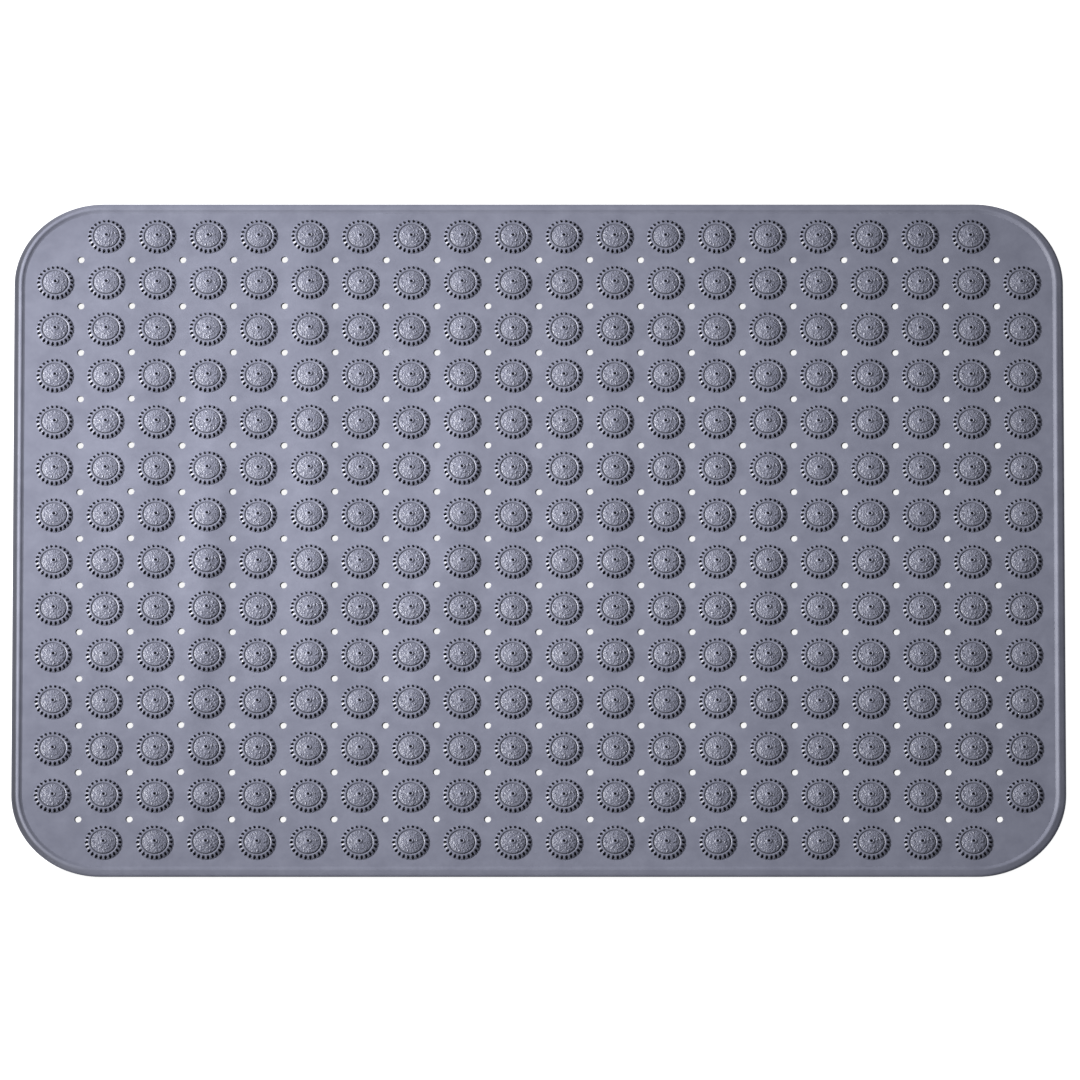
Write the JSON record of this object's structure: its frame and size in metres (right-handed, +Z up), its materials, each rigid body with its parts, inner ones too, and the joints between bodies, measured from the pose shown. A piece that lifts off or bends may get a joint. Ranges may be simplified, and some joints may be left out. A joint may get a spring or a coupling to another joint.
{
  "type": "anti fatigue mat",
  "caption": "Flexible rubber standing mat with raised round massage domes, drain holes, a beaded edge and suction cups underneath.",
  "frame": {"origin": "on the floor, under the middle of the mat", "axes": "+X along the mat's long side, -Y towards the front edge, +Z up from the floor"},
  "size_m": [1, 0.7, 0.0132],
  "materials": {
    "sheet_rubber": "satin",
    "bead_rubber": "satin",
    "dome_rubber": "satin, finely pebbled on the caps",
    "cup_rubber": "smooth"
  },
  "bodies": {
    "root": {"mat_sheet": "sheet_rubber", "edge_bead_front": "bead_rubber", "edge_bead_back": "bead_rubber", "edge_bead_left": "bead_rubber", "edge_bead_right": "bead_rubber", "corner_bead_front_left": "bead_rubber", "corner_bead_front_right": "bead_rubber", "corner_bead_back_left": "bead_rubber", "corner_bead_back_right": "bead_rubber", "dome_row_01": "dome_rubber", "dome_row_02": "dome_rubber", "dome_row_03": "dome_rubber", "dome_row_04": "dome_rubber", "dome_row_05": "dome_rubber", "dome_row_06": "dome_rubber", "dome_row_07": "dome_rubber", "dome_row_08": "dome_rubber", "dome_row_09": "dome_rubber", "dome_row_10": "dome_rubber", "dome_row_11": "dome_rubber", "dome_row_12": "dome_rubber", "dome_row_13": "dome_rubber", "dome_row_14": "dome_rubber", "suction_cup_row_01": "cup_rubber", "suction_cup_row_02": "cup_rubber", "suction_cup_row_03": "cup_rubber", "suction_cup_row_04": "cup_rubber", "suction_cup_row_05": "cup_rubber", "suction_cup_row_06": "cup_rubber", "suction_cup_row_07": "cup_rubber", "suction_cup_row_08": "cup_rubber", "suction_cup_row_09": "cup_rubber", "suction_cup_row_10": "cup_rubber", "suction_cup_row_11": "cup_rubber", "suction_cup_row_12": "cup_rubber", "suction_cup_row_13": "cup_rubber", "suction_cup_row_14": "cup_rubber"}
  },
  "joints": []
}
